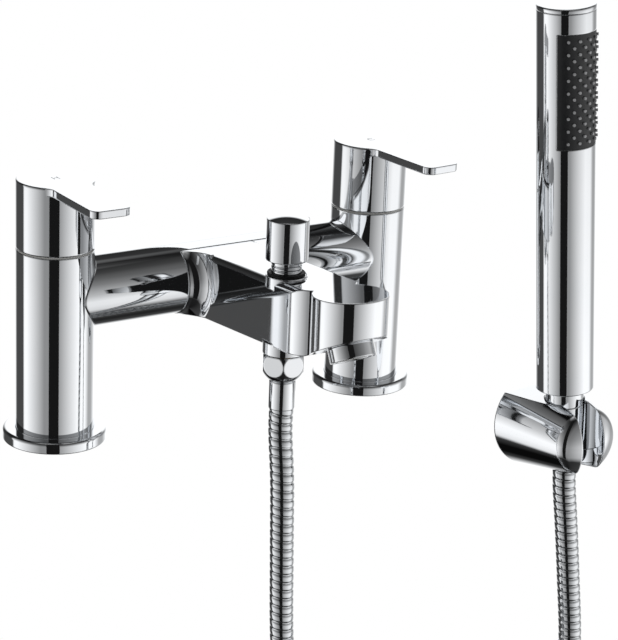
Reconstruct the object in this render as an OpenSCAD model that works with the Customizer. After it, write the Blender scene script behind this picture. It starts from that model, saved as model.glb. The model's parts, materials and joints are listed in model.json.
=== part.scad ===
// Bath shower mixer: two pillars on the bath's deck with quarter-turn levers, a bridge with a flat spout,
// a pull-up diverter, a ribbed hose, a stick handset and its wall bracket.
// Millimetres. Origin on the deck midway between the pillars, +Z up, -Y towards the bather.

/* [Pillars] */
// Distance between the axes of the two pillars
pillar_spacing = 180; // [170:1:220]
// Outside diameter of the pillars and of the handle caps
pillar_d = 38.3; // [37:0.1:44]
// Height of the pillars' tops above the deck
pillar_h = 96.9; // [95:0.1:110]
// Outside diameter of the flange at the foot of each pillar
flange_d = 51; // [47:0.5:64]
// Height of the foot flange
flange_h = 5.5; // [4:0.1:9]
// Thickness of the rubber gasket under each pillar
gasket_t = 1.5; // [1:0.1:3]
// Thickness of the deck that the back nuts clamp
deck_t = 12; // [5:1:20]
// Outside diameter of the threaded inlet tails
tail_d = 26.4; // [22:0.1:28]
// Reach of the inlet tails below the deck
tail_len = 55; // [45:1:80]
// Outside diameter of the plain ends that the supply connectors slide over
tail_end_d = 25.2; // [20:0.1:26]
// Length of those plain ends
tail_end_len = 30; // [20:1:32]
// Water bore of the inlet tails
tail_bore_d = 15; // [10:0.5:17]
// Width of the back nuts across their flats
back_nut_af = 36; // [34:0.5:46]
// Height of the back nuts
back_nut_h = 7; // [5:0.5:12]
// Thickness of the clamp washers
washer_t = 2; // [1:0.5:4]

/* [Valves] */
// Thread diameter of the valve cartridges
valve_d = 20.9; // [19:0.1:23]
// Height of the seat that the cartridges press on
seat_z = 60; // [56:0.5:62]
// Diameter of the valve spindles
spindle_d = 9; // [7:0.5:10]
// Thickness of each ceramic disc
disc_t = 3; // [2.5:0.1:3.5]
// Thickness of the rubber seal under the ceramic discs
valve_seal_t = 3; // [2:0.1:4]

/* [Handles] */
// Height of the handle caps
handle_h = 33.7; // [30:0.1:45]
// Thickness of the glide ring under each handle
glide_t = 0.8; // [0.6:0.1:2]
// Thickness of the handle's side wall
handle_wall = 2.65; // [2:0.05:3.5]
// Reach of the lever from the handle's axis to its tip
lever_reach = 59.3; // [50:0.1:80]
// Width of the lever
lever_w = 20.6; // [16:0.1:24]
// Radius of the two corners at the lever's tip
lever_tip_r = 4.5; // [2:0.5:8]
// Turn of the closed cold lever towards the right, in degrees
cold_rest = 5; // [0:1:10]
// Thickness of the lever
lever_t = 3.7; // [3:0.1:5]

/* [Bridge and spout] */
// Outside diameter of the bridge between the pillars
bridge_d = 35.8; // [34:0.1:37]
// Height of the bridge's axis
bridge_z = 73.2; // [72:0.1:76]
// Wall of the bridge tube
bridge_wall = 3; // [2:0.1:5]
// Radius of the flare where the bridge runs into the spout
flare_r = 11; // [6:0.5:14]
// Width of the spout block
spout_w = 35; // [33:0.5:40]
// Reach of the block's nose from the bridge's axis
nose_reach = 111; // [106:0.5:140]
// Radius of the nose's two upright corners
nose_r = 14; // [8:0.5:16]
// Rise of the spout's flat top towards the front, in degrees
top_rise = 4.2; // [3:0.1:5.5]
// Rise of the spout's underside towards the front, in degrees
under_rise = 4.85; // [3.5:0.1:6]
// Radius of the spout's long upper edges
edge_r = 3.5; // [1:0.5:6]
// Diameter of the round head
head_d = 36.2; // [34:0.1:38]
// Distance of the round head's axis in front of the nose
head_ahead = 11.6; // [10:0.1:14]
// Height of the head's tilted underside at the aerator
head_under_z = 73; // [72:0.5:75]
// Outside diameter of the aerator nozzle
aerator_d = 22; // [21:0.5:25]
// Forward tilt of the head's underside and of the aerator, in degrees
aerator_tilt = 27; // [22:1:28]
// Length of the aerator nozzle below the head
aerator_len = 6.8; // [6:0.1:12]

/* [Diverter and shower outlet] */
// Sideways place of the diverter on the spout
diverter_x = -8.5; // [-9:0.1:-6]
// Distance of the diverter in front of the bridge's axis
diverter_ahead = 79.7; // [72:0.1:84]
// Diameter of the diverter's upright chamber
chamber_d = 14; // [12:0.1:14.4]
// Outside diameter of the collar round the diverter
collar_d = 19.6; // [19:0.1:21]
// Height of the collar's rim
collar_z = 95.8; // [95.5:0.1:98]
// Diameter of the pull-up knob
knob_d = 20.4; // [18:0.1:26]
// Height of the pull-up knob
knob_h = 21.6; // [18:0.1:30]
// Height of the dome on the knob's top
knob_dome_h = 1.8; // [1:0.1:3]
// Diameter of the diverter's stem
stem_d = 6; // [4:0.5:7]
// Outside diameter of the shower outlet under the spout
outlet_d = 20.4; // [18:0.1:21]
// Height of the shower outlet's lower rim
outlet_z = 56.95; // [56:0.05:58]
// Outside diameter of the threaded nipple inside the hose nut
nipple_d = 15.2; // [14.6:0.1:15.6]

/* [Hose] */
// Outside diameter of the ribbed hose
hose_d = 12; // [11:0.1:12.2]
// Water bore of the hose
hose_bore_d = 8; // [6:0.5:9]
// Pitch of the hose's ribs
rib_pitch = 4.3; // [4:0.1:6]
// Depth of the grooves between the ribs
rib_depth = 0.6; // [0.3:0.1:1]
// Width of the hose nut across its flats
hose_nut_d = 19.4; // [19:0.1:21]
// Diameter of the ball that rounds the hose nut
nut_ball_d = 22.1; // [21.9:0.1:23]
// Height of the hose nut
hose_nut_h = 13.5; // [13:0.1:14]
// Diameter of the crimped hose ferrules
ferrule_d = 12.8; // [12.4:0.1:14]
// Length of the lower ferrule below its nut
ferrule_len = 14.35; // [8:0.05:15]

/* [Handset] */
// Outside diameter of the handset tube
handset_d = 28.9; // [27:0.1:34]
// Length of the handset tube with its cap
handset_len = 195; // [150:1:240]
// Wall of the handset tube
handset_wall = 2; // [1.5:0.1:3]
// Height of the cap on top of the handset
cap_h = 2.4; // [1.5:0.1:5]
// Distance from the handset's top to the spray panel
panel_drop = 12.2; // [8:0.1:20]
// Length of the spray panel
panel_len = 56; // [40:1:80]
// Angle that the spray panel takes round the tube
panel_angle = 131; // [100:1:150]
// Direction that the spray panel faces, from straight ahead
panel_turn = 11; // [-40:1:40]
// Rows of spray nozzles
nozzle_rows = 17; // [9:2:17]
// Diameter of one spray nozzle
nozzle_d = 1.5; // [1:0.1:2]
// Diameter of the neck under the handset
neck_d = 19; // [18:0.1:20]
// Length of the neck under the handset
neck_len = 9; // [6:0.1:10]

/* [Wall bracket] */
// Sideways place of the bracket
bracket_x = 135; // [130:1:150]
// Wall's distance in front of the pillars' axes
wall_ahead = 95; // [90:1:100]
// Height of the bracket's axis above the deck
bracket_z = 5; // [0:1:20]
// Turn of the bracket on its round wall plate, in degrees
bracket_turn = -4.93; // [-10:0.01:0]
// Diameter of the bracket at the wall
bracket_d = 52; // [48:0.5:58]
// Diameter of the bracket at its front rim, before rounding
bracket_front_d = 34; // [32:0.5:40]
// Distance from the wall to the bracket's front rim, before rounding
bracket_len = 42.5; // [41:0.5:46]
// Radius of the bracket's domed front
dome_r = 27; // [25:0.5:40]
// Radius of the soft rim between the bracket's side and its front
rim_r = 6.5; // [3:0.5:8]
// Height of the bracket's flat top above its axis
bracket_flat = 17.4; // [15:0.1:19]
// Distance from the wall to the handset's axis
handset_ahead = 24; // [23.5:0.1:26]
// Width of the front slot that the hose passes through
slot_w = 13.5; // [12.8:0.1:15]
// Depth of the recess that takes the wall plate
recess_len = 9; // [7:0.5:10]
// Diameter of the round wall plate
plate_d = 31; // [30:0.1:33]
// Distance between the two wall screws
screw_spacing = 20; // [16:0.5:20]
// Diameter of the wall screws
screw_d = 4; // [3:0.1:4.5]
// Length of the wall screws behind the wall face
screw_len = 30; // [20:1:50]

/* [Hidden] */
$fn = 64;
// Gap between fitted pieces that don't move against each other
snug = 0.05;
// Gap between pieces that move past each other
clear = 0.35;
// Overlap that keeps cuts open at their ends
eps = 0.1;

pillar_r = pillar_d / 2;
tail_r = tail_d / 2;
tail_end_r = tail_end_d / 2;
tail_socket_h = 14;
foot_fillet = 1.5;
edge_fillet = 0.8;

valve_r = valve_d / 2;
hex_seat_z = pillar_h - 11;
hex_h = 7;
hex_over = 2.1;
hex_af = valve_d + hex_over;
hex_play = 0.9;
hex_pocket_r = hex_af / 2 / cos(30) + hex_play;
valve_neck_r = spindle_d / 2 + 3.5;
valve_neck_top = pillar_h + 4;
cage_r = valve_r - 2.2;
seal_r = cage_r - clear;
chamber_r = 6;
seal_bore_r = 5;
fixed_disc_z = seat_z + valve_seal_t;
moving_disc_z = fixed_disc_z + disc_t + clear;
spindle_foot_z = moving_disc_z + disc_t;
spindle_foot_h = 3;
cage_top_z = spindle_foot_z + spindle_foot_h + clear;
port_r = 7;
disc_port_r = 2.2;
disc_port_x = 4.3;
valve_window_w = 8;
valve_window_h = 5;

handle_z = pillar_h + glide_t + clear;
handle_top = handle_z + handle_h;
handle_bore_r = pillar_r - handle_wall;
handle_roof_t = 6;
boss_r = spindle_d / 2 + 3;
boss_z = handle_z + 8;
boss_fit = 0.05;
spindle_top = handle_top - handle_roof_t - 2;
grub_rise = 14;
grub_z = handle_z + grub_rise;
grub_r = 2;
grub_len = 8;
lever_fillet = 6;
lever_fillet_x = lever_w / 2 + lever_fillet;
lever_fillet_y = -sqrt(pow(pillar_r + lever_fillet, 2) - pow(lever_fillet_x, 2));
fillet_share = pillar_r / (pillar_r + lever_fillet);

bridge_r = bridge_d / 2;
half_w = spout_w / 2;
flare_root = 2;
flare_sink = 0.4;
flare_lip = 0.2;
flare_end = flare_r - flare_sink - sqrt(pow(flare_r, 2) - pow(flare_r - flare_lip, 2));
spout_below_top = 2.6;
spout_below_under = 0.4;
spout_root_top = bridge_z + bridge_r - spout_below_top;
spout_root_under = bridge_z - bridge_r - spout_below_under;
head_y = -(nose_reach + head_ahead);
head_r = head_d / 2;
tall = 200;
function top_at(y) = spout_root_top - y * tan(top_rise);
function under_at(y) = spout_root_under - y * tan(under_rise);

channel_r = 8;
neck_channel_r = 4.8;
channel_end_z = (head_under_z + top_at(head_y)) / 2 - 1;
channel_rise = atan((channel_end_z - bridge_z) / -head_y);
channel_step = nose_reach - 10;
aerator_ahead = 1.6;
aerator_y = head_y - aerator_ahead;
aerator_r = aerator_d / 2;
aerator_thread_r = aerator_r - 2.5;
aerator_thread_h = 7.5;
aerator_bore_r = aerator_r - 2;
aerator_way_r = aerator_r - 4.5;
aerator_step = 3.5;
aerator_washer_t = 1.2;
insert_sink = 0.6;
insert_len = aerator_len - aerator_step - insert_sink;
insert_hole_r = 0.9;
insert_hole_pitch = 3.6;

diverter_y = -diverter_ahead;
stem_r = stem_d / 2;
collar_r = collar_d / 2;
collar_root = top_at(diverter_y) - edge_r - 1;
ring_t = 1.3;
ring_inset = 0.6;
bush_head_z = collar_z + ring_t;
bush_head_r = 7.3;
bush_head_h = 6;
bush_groove = 0.5;
bush_groove_rise = [1.4, 3.2];
bush_depth = 8.5;
knob_r = knob_d / 2;
knob_z = bush_head_z + bush_head_h + clear;
knob_ball_r = (knob_r * knob_r + knob_dome_h * knob_dome_h) / (2 * knob_dome_h);
stem_top = knob_z + knob_h - 4;
seat_top = outlet_z + 9.5;
diverter_seal_z = seat_top + clear;
diverter_seal_t = 1.7;
piston_z = diverter_seal_z + diverter_seal_t;
piston_h = 4;
piston_r = chamber_d / 2 - 0.5;

outlet_r = outlet_d / 2;
outlet_root = under_at(diverter_y - outlet_r) + 0.5;
nipple_r = nipple_d / 2;
nipple_z = outlet_z - 7;
nipple_bore_r = 4.5;
hose_nut_z = outlet_z - 0.4 - hose_nut_h;
hose_nut_floor = 1.3;
nut_ball_z = hose_nut_z + 9;
hose_neck_r = hose_bore_d / 2 + 1.1;
hose_washer_t = 1.8;
hose_flange_r = nipple_r - 0.4;
ferrule_r = ferrule_d / 2;
ferrule_end_z = hose_nut_z - ferrule_len;

wall_y = -wall_ahead;
handset_r = handset_d / 2;
handset_z = 24.6;
handset_top = handset_z + handset_len;
panel_top = handset_top - panel_drop;
panel_z = panel_top - panel_len;
panel_t = 2.2;
panel_gap = 0.15;
panel_ring_h = 4;
nozzle_h = 0.8;
nozzle_sides = 8;
nozzle_step = 22;
nozzle_margin = 3.2;
nozzle_pitch = (panel_len - 2 * nozzle_margin) / (nozzle_rows - 1);
neck_r = neck_d / 2;
neck_z = handset_z - neck_len;
neck_bore_r = 4.5;
spigot_r = 7;
base_t = 5;
waterway_r = 8.5;
waterway_wall = 1.4;

nut_ring_h = 4;
cone_top_z = neck_z - nut_ring_h;
cone_taper = 0.055;
cone_len = 22;
cone_end_z = cone_top_z - cone_len;
cone_end_r = neck_r - cone_len * cone_taper;
spigot_end_z = neck_z - 13;
nut_floor_z = spigot_end_z - 4;
upper_washer_t = 1.8;
upper_flange_t = 1.2;
upper_ferrule_len = 8;
hose_top_z = cone_end_z - 0.4 - upper_ferrule_len;
function bracket_hole_r(z) = neck_r + clear + (z - cone_top_z) * cone_taper;

bracket_r = bracket_d / 2;
bracket_slope = (bracket_d - bracket_front_d) / 2 / bracket_len;
bracket_lean = atan(bracket_slope);
dome_at = bracket_len - sqrt(dome_r * dome_r - pow(bracket_front_d / 2, 2));
// Centre of the rim's rounding, which touches the cone and the dome
rim_base = bracket_r - bracket_slope * dome_at - rim_r / cos(bracket_lean);
rim_square = 1 + bracket_slope * bracket_slope;
rim_reach = dome_r - rim_r;
rim_over = 0.02;
rim_root = sqrt(rim_square * rim_reach * rim_reach - rim_base * rim_base);
rim_ahead = (bracket_slope * rim_base + rim_root) / rim_square;
rim_at = [rim_base - bracket_slope * rim_ahead, dome_at + rim_ahead];
rim_on_cone = rim_at + rim_r * [cos(bracket_lean), sin(bracket_lean)];
rim_on_dome = [0, dome_at] + dome_r / rim_reach * (rim_at - [0, dome_at]);
recess_r = plate_d / 2 + snug;
bracket_grub_r = 1.5;
bracket_grub_y = recess_len / 2;
bracket_grub_sink = 1;
bracket_grub_top = bracket_r - bracket_slope * bracket_grub_y - bracket_grub_sink;
plate_t = 6;
screw_neck_r = screw_d / 2 + 0.4;
screw_head_r = screw_d / 2 + 1.8;
screw_head_h = 2;

// Hand-chosen points of the hose: down from the outlet, and down from the handset
coil_x = 72;
coil_z = -195;
coil_r = 70;
coil_turns = 2.5;
coil_lead = 12;
coil_start_y = -86.5;
coil_end_y = -121;
coil_top = coil_z + coil_lead;
hose_lead = 13;
hose_end_gap = 0.2;
lower_points = [
  [diverter_x, diverter_y, ferrule_end_z - hose_end_gap],
  [diverter_x, diverter_y, ferrule_end_z - hose_lead],
  [-8.5, -83, -10],
  [-8.5, -85, -45],
  [-7, -86, -95],
  [-2, -86.5, -140],
  [coil_x - coil_r, coil_start_y, coil_top + hose_lead],
  [coil_x - coil_r, coil_start_y, coil_top]];
upper_points = [
  in_wall_frame([0, -handset_ahead, hose_top_z - hose_end_gap]),
  in_wall_frame([0, -handset_ahead, hose_top_z - hose_lead]),
  [140.5, -119, -45],
  [144.5, -119.5, -77],
  [148.5, -120, -114],
  [147.5, -120.5, -145],
  [coil_x + coil_r, coil_end_y, coil_top + hose_lead],
  [coil_x + coil_r, coil_end_y, coil_top]];

// Frames and repeated shapes
hot = -1;
cold = 1;

module at_pillar(side) {
  translate([side * pillar_spacing / 2, 0, 0]) children();
}

module at_diverter() {
  translate([diverter_x, diverter_y, 0]) children();
}

module at_aerator() {
  translate([0, aerator_y, head_under_z]) rotate([-aerator_tilt, 0, 0]) children();
}

module at_wall() {
  translate([bracket_x, wall_y, bracket_z]) children();
}

module at_bracket() {
  at_wall() rotate([0, bracket_turn, 0]) children();
}

module at_handset() {
  at_bracket() translate([0, -handset_ahead, 0]) children();
}

function in_wall_frame(p) = [
  bracket_x + p[0] * cos(bracket_turn) + p[2] * sin(bracket_turn),
  wall_y + p[1],
  bracket_z - p[0] * sin(bracket_turn) + p[2] * cos(bracket_turn)];

module ring(r_out, r_in, z, h) {
  translate([0, 0, z]) difference() {
    cylinder(r = r_out, h = h);
    translate([0, 0, -eps]) cylinder(r = r_in, h = h + 2 * eps);
  }
}

// Upright turned piece whose upper rim is rounded by f
module rounded_top(r, h, f) {
  rotate_extrude() {
    square([r, h - f]);
    square([r - f, h]);
    translate([r - f, h - f]) intersection() {
      circle(r = f);
      square(f);
    }
  }
}

module along_y(from, to, r) {
  translate([0, from, 0]) rotate([90, 0, 0]) cylinder(r = r, h = from - to);
}

// Pillars and what fastens them to the deck
module pillar(side) {
  color("silver") at_pillar(side) difference() {
    translate([0, 0, gasket_t]) cylinder(r = pillar_r, h = pillar_h - gasket_t);
    translate([0, 0, gasket_t - eps]) cylinder(r = tail_r + snug, h = tail_socket_h + eps);
    cylinder(r = chamber_r, h = seat_z + eps);
    translate([0, 0, seat_z]) cylinder(r = valve_r, h = pillar_h);
    translate([0, 0, hex_seat_z]) cylinder(r = hex_pocket_r, h = pillar_h);
    translate([0, 0, bridge_z]) rotate([0, -side * 90, 0]) cylinder(r = port_r, h = pillar_r + eps);
  }
}

module foot_flange(side) {
  color("silver") at_pillar(side) difference() {
    rounded_top(flange_d / 2, flange_h, foot_fillet);
    translate([0, 0, -eps]) cylinder(r = pillar_r + snug, h = flange_h + 2 * eps);
  }
}

module deck_gasket(side) {
  color("dimgray") at_pillar(side) ring(pillar_r - 0.5, tail_r + snug, 0, gasket_t);
}

module inlet_tail(side) {
  thread_z = tail_end_len - tail_len;
  color("goldenrod") at_pillar(side) {
    ring(tail_end_r, tail_bore_d / 2, -tail_len, tail_end_len);
    ring(tail_r, tail_bore_d / 2, thread_z, gasket_t + tail_socket_h - snug - thread_z);
  }
}

module clamp_washers() {
  color("gray") for (side = [hot, cold]) at_pillar(side)
    ring(back_nut_af / 2 + 3, tail_r + snug, -deck_t - washer_t, washer_t);
}

module back_nuts() {
  color("goldenrod") for (side = [hot, cold]) at_pillar(side)
    translate([0, 0, -deck_t - washer_t - back_nut_h]) difference() {
      cylinder(d = back_nut_af / cos(30), h = back_nut_h, $fn = 6);
      translate([0, 0, -eps]) cylinder(r = tail_r + snug, h = back_nut_h + 2 * eps);
    }
}

// Quarter-turn ceramic valves
module valve_body(side) {
  color("khaki") at_pillar(side) difference() {
    union() {
      translate([0, 0, seat_z + 1]) cylinder(r = valve_r - snug, h = hex_seat_z - seat_z - 1);
      translate([0, 0, hex_seat_z]) cylinder(d = hex_af / cos(30), h = hex_h, $fn = 6);
      translate([0, 0, hex_seat_z]) cylinder(r = valve_neck_r, h = valve_neck_top - hex_seat_z);
    }
    translate([0, 0, seat_z]) cylinder(r = cage_r, h = cage_top_z - seat_z);
    cylinder(r = spindle_d / 2 + snug, h = tall);
    translate([-valve_d, -valve_window_w / 2, spindle_foot_z - 1])
      cube([2 * valve_d, valve_window_w, valve_window_h]);
  }
}

module valve_seal(side) {
  color("black") at_pillar(side) ring(seal_r, seal_bore_r, seat_z, valve_seal_t);
}

module ceramic_disc(z) {
  translate([0, 0, z]) difference() {
    cylinder(r = seal_r, h = disc_t);
    for (x = [-disc_port_x, disc_port_x])
      translate([x, 0, -eps]) cylinder(r = disc_port_r, h = disc_t + 2 * eps);
  }
}

module fixed_disc(side) {
  color("ivory") at_pillar(side) ceramic_disc(fixed_disc_z);
}

module moving_disc(side) {
  color("white") at_pillar(side) rotate([0, 0, 90]) ceramic_disc(moving_disc_z);
}

module spindle(side) {
  color("khaki") at_pillar(side) {
    translate([0, 0, spindle_foot_z]) cylinder(r = seal_r, h = spindle_foot_h);
    translate([0, 0, spindle_foot_z]) cylinder(r = spindle_d / 2, h = spindle_top - spindle_foot_z);
  }
}

module glide_ring(side) {
  color("white") at_pillar(side) ring(pillar_r - clear, hex_pocket_r, pillar_h, glide_t);
}

// Handle cap with its lever, seen from above
module lever_outline() {
  tip_x = lever_w / 2 - lever_tip_r;
  translate([-lever_w / 2, -lever_reach + lever_tip_r]) square([lever_w, lever_reach - lever_tip_r]);
  translate([-tip_x, -lever_reach]) square([2 * tip_x, lever_reach]);
  for (s = [-1, 1]) translate([s * tip_x, -lever_reach + lever_tip_r]) circle(r = lever_tip_r);
  for (s = [-1, 1]) scale([s, 1]) difference() {
    polygon([[0, 0], [0, lever_fillet_y], [lever_fillet_x, lever_fillet_y],
      [lever_fillet_x * fillet_share, lever_fillet_y * fillet_share]]);
    translate([lever_fillet_x, lever_fillet_y]) circle(r = lever_fillet);
  }
}

module at_handle(side) {
  at_pillar(side) rotate([0, 0, side == cold ? cold_rest : 0]) children();
}

module handle(side) {
  color("silver") at_handle(side) difference() {
    union() {
      difference() {
        translate([0, 0, handle_z]) rounded_top(pillar_r, handle_h, edge_fillet);
        translate([0, 0, handle_z - eps]) cylinder(r = handle_bore_r, h = handle_h - handle_roof_t + eps);
      }
      translate([0, 0, boss_z]) cylinder(r = boss_r, h = handle_top - handle_roof_t - boss_z + eps);
      translate([0, 0, handle_top - lever_t]) linear_extrude(lever_t) lever_outline();
    }
    translate([0, 0, boss_z - eps])
      cylinder(r = spindle_d / 2 + boss_fit, h = spindle_top - boss_z + 2 * eps);
    translate([0, 0, grub_z]) rotate([-90, 0, 0]) cylinder(r = grub_r + snug, h = pillar_r + 1);
  }
}

module grub_screw(side) {
  color("dimgray") at_handle(side) translate([0, spindle_d / 2 + 2 * snug, grub_z]) rotate([-90, 0, 0])
    cylinder(r = grub_r, h = grub_len);
}

// Bridge and spout
module bridge_tube(r) {
  translate([0, 0, bridge_z]) rotate([0, 90, 0]) cylinder(r = r, h = pillar_spacing, center = true);
}

module bridge() {
  color("silver") difference() {
    bridge_tube(bridge_r);
    bridge_tube(bridge_r - bridge_wall);
    for (side = [hot, cold]) at_pillar(side) cylinder(r = pillar_r + snug, h = tall);
    translate([0, 0, bridge_z]) rotate([-channel_rise, 0, 0]) along_y(0, -bridge_d, channel_r);
  }
}

// Side view of the spout between its rising top and underside, as a slab of the given width
module spout_slab(width, reach) {
  translate([-width / 2, 0, 0]) rotate([90, 0, 90]) linear_extrude(width) polygon([
    [0, under_at(0)], [-reach, under_at(-reach)], [-reach, top_at(-reach)], [0, top_at(0)]]);
}

// Spout seen from above: the block with its rounded nose, and the round head
module spout_plan() {
  translate([-half_w, -nose_reach + nose_r]) square([spout_w, nose_reach - nose_r]);
  translate([-half_w + nose_r, -nose_reach]) square([spout_w - 2 * nose_r, nose_reach]);
  for (s = [-1, 1]) translate([s * (half_w - nose_r), -nose_reach + nose_r]) circle(r = nose_r);
  translate([0, head_y]) circle(r = head_r);
}

// What comes off the long upper edges, as two bars that lie along the rising top
module edge_waste() {
  translate([0, 0, spout_root_top + snug]) rotate([-top_rise, 0, 0]) rotate([90, 0, 0])
    translate([0, 0, -spout_w]) linear_extrude(spout_w + nose_reach) for (s = [-1, 1]) scale([s, 1])
      translate([half_w - edge_r + snug, -edge_r]) difference() {
        square(2 * edge_r);
        circle(r = edge_r);
      }
}

// Trumpet round the bridge's axis that runs into both flanks of the spout
module flare() {
  translate([0, 0, bridge_z]) for (s = [-1, 1]) rotate([0, s * 90, 0])
    rotate_extrude() difference() {
      translate([0, half_w - flare_root]) square([bridge_r + flare_r, flare_root + flare_end]);
      translate([bridge_r + flare_r, half_w + flare_r - flare_sink]) circle(r = flare_r);
    }
}

module spout_block() {
  intersection() {
    spout_slab(spout_w + 2 * flare_r, nose_reach + head_ahead + head_d);
    union() {
      difference() {
        linear_extrude(tall) spout_plan();
        edge_waste();
      }
      flare();
    }
  }
}

module spout() {
  color("silver") difference() {
    union() {
      difference() {
        spout_block();
        at_aerator() translate([-tall, -tall, -tall]) cube([2 * tall, 2 * tall, tall]);
      }
      at_diverter() translate([0, 0, collar_root]) cylinder(r = collar_r, h = collar_z - collar_root);
      at_diverter() translate([0, 0, outlet_z]) cylinder(r = outlet_r, h = outlet_root - outlet_z);
    }
    bridge_tube(bridge_r + snug);
    translate([0, 0, bridge_z]) rotate([-channel_rise, 0, 0]) {
      along_y(0, -channel_step, channel_r);
      along_y(0, head_y, neck_channel_r);
    }
    at_diverter() translate([0, 0, outlet_z - eps]) cylinder(d = chamber_d, h = tall);
    at_aerator() translate([0, 0, -aerator_r]) cylinder(r = aerator_thread_r + snug,
      h = aerator_r + aerator_thread_h + aerator_washer_t);
    at_aerator() cylinder(r = aerator_way_r, h = aerator_thread_h + aerator_washer_t + 2);
  }
}

// Aerator under the spout's head
module aerator_housing() {
  color("silver") at_aerator() difference() {
    union() {
      translate([0, 0, -aerator_len]) cylinder(r = aerator_r, h = aerator_len - snug);
      translate([0, 0, -aerator_len / 2])
        cylinder(r = aerator_thread_r, h = aerator_len / 2 + aerator_thread_h);
    }
    translate([0, 0, -aerator_len - eps])
      cylinder(r = aerator_bore_r, h = aerator_len - aerator_step + eps);
    translate([0, 0, -aerator_len]) cylinder(r = aerator_way_r, h = tall);
  }
}

module aerator_insert() {
  color("dimgray") at_aerator() translate([0, 0, -aerator_step - insert_len]) difference() {
    cylinder(r = aerator_bore_r - snug, h = insert_len);
    for (row = [-2 : 2]) for (column = [-2 : 2])
      let (x = (column + row / 2) * insert_hole_pitch, y = row * insert_hole_pitch * sin(60))
        if (norm([x, y]) < aerator_bore_r - 2)
          translate([x, y, -eps]) cylinder(r = insert_hole_r, h = insert_len + 2 * eps);
  }
}

module aerator_washer() {
  color("black") at_aerator() ring(aerator_thread_r, aerator_way_r, aerator_thread_h, aerator_washer_t);
}

// Pull-up diverter
module diverter_knob() {
  color("silver") at_diverter() difference() {
    intersection() {
      translate([0, 0, knob_z]) cylinder(r = knob_r, h = knob_h + 1);
      translate([0, 0, knob_z + knob_h - knob_ball_r]) sphere(r = knob_ball_r);
    }
    translate([0, 0, knob_z - eps]) cylinder(r = stem_r + snug, h = stem_top - knob_z + eps);
  }
}

module diverter_stem() {
  color("khaki") at_diverter() translate([0, 0, piston_z])
    cylinder(r = stem_r, h = stem_top - piston_z - snug);
}

module diverter_piston() {
  color("white") at_diverter() ring(piston_r, stem_r + snug, piston_z, piston_h);
}

module diverter_seal() {
  color("black") at_diverter() translate([0, 0, diverter_seal_z])
    cylinder(r = piston_r - clear, h = diverter_seal_t);
}

module diverter_bush() {
  color("silver") at_diverter() difference() {
    union() {
      translate([0, 0, collar_z - bush_depth])
        cylinder(r = chamber_d / 2 - snug, h = bush_depth + ring_t + eps);
      translate([0, 0, bush_head_z]) cylinder(r = bush_head_r, h = bush_head_h);
    }
    for (rise = bush_groove_rise)
      ring(bush_head_r + 1, bush_head_r - bush_groove, bush_head_z + rise, bush_groove);
    cylinder(r = stem_r + snug, h = tall);
  }
}

module diverter_o_ring() {
  round_x = collar_r - ring_inset - ring_t / 2;
  color("black") at_diverter() translate([0, 0, collar_z]) rotate_extrude() {
    translate([round_x, ring_t / 2]) circle(d = ring_t);
    translate([chamber_d / 2, 0]) square([round_x - chamber_d / 2, ring_t]);
  }
}

// Shower outlet and the hose's lower end
module shower_outlet() {
  color("goldenrod") at_diverter() difference() {
    union() {
      translate([0, 0, nipple_z]) cylinder(r = nipple_r, h = outlet_z - nipple_z);
      translate([0, 0, nipple_z]) cylinder(r = chamber_d / 2 - snug, h = seat_top - nipple_z);
    }
    translate([0, 0, nipple_z - eps]) cylinder(r = nipple_bore_r, h = tall);
  }
}

module hose_nut() {
  color("silver") at_diverter() difference() {
    intersection() {
      translate([0, 0, hose_nut_z]) cylinder(d = hose_nut_d / cos(30), h = hose_nut_h, $fn = 6);
      translate([0, 0, nut_ball_z]) sphere(d = nut_ball_d);
    }
    translate([0, 0, hose_nut_z - eps]) cylinder(r = hose_neck_r + snug, h = hose_nut_h);
    translate([0, 0, hose_nut_z + hose_nut_floor]) cylinder(r = nipple_r + snug, h = hose_nut_h);
  }
}

module hose_washer() {
  color("black") at_diverter() ring(hose_flange_r, nipple_bore_r, nipple_z - hose_washer_t, hose_washer_t);
}

module lower_ferrule() {
  color("silver") at_diverter() difference() {
    union() {
      translate([0, 0, ferrule_end_z]) rounded_top(ferrule_r, ferrule_len, edge_fillet);
      translate([0, 0, ferrule_end_z])
        cylinder(r = hose_neck_r, h = nipple_z - hose_washer_t - ferrule_end_z);
      translate([0, 0, hose_nut_z + hose_nut_floor]) cylinder(r = hose_flange_r,
        h = nipple_z - hose_washer_t - hose_nut_z - hose_nut_floor);
    }
    translate([0, 0, ferrule_end_z - eps]) cylinder(d = hose_bore_d, h = tall);
  }
}

// Curves through hand-chosen points
function unit(v) = v / norm(v);
function blend(a, b, c, d, t) =
  0.5 * (2 * b + (c - a) * t + (2 * a - 5 * b + 4 * c - d) * t * t + (3 * b - a - 3 * c + d) * t * t * t);
function smooth(p, n) = let (last = len(p) - 1) concat(
  [for (i = [0 : last - 1]) for (k = [0 : n - 1])
    blend(p[max(i - 1, 0)], p[i], p[i + 1], p[min(i + 2, last)], k / n)], [p[last]]);
function run(p) = [for (i = 0, s = 0; i < len(p);
  s = s + norm(p[min(i + 1, len(p) - 1)] - p[i]), i = i + 1) s];
function column(p, s, axis) = [for (i = [0 : len(p) - 1]) [s[i], p[i][axis]]];
function even(p, count) = let (s = run(p), whole = s[len(s) - 1]) [for (i = [0 : count])
  [for (axis = [0 : 2]) lookup(whole * i / count, column(p, s, axis))]];
function heading(p, i) = let (last = len(p) - 1)
  i == 0 ? unit(p[1] - p[0]) : i == last ? unit(p[last] - p[last - 1]) : unit(p[i + 1] - p[i - 1]);

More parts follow.
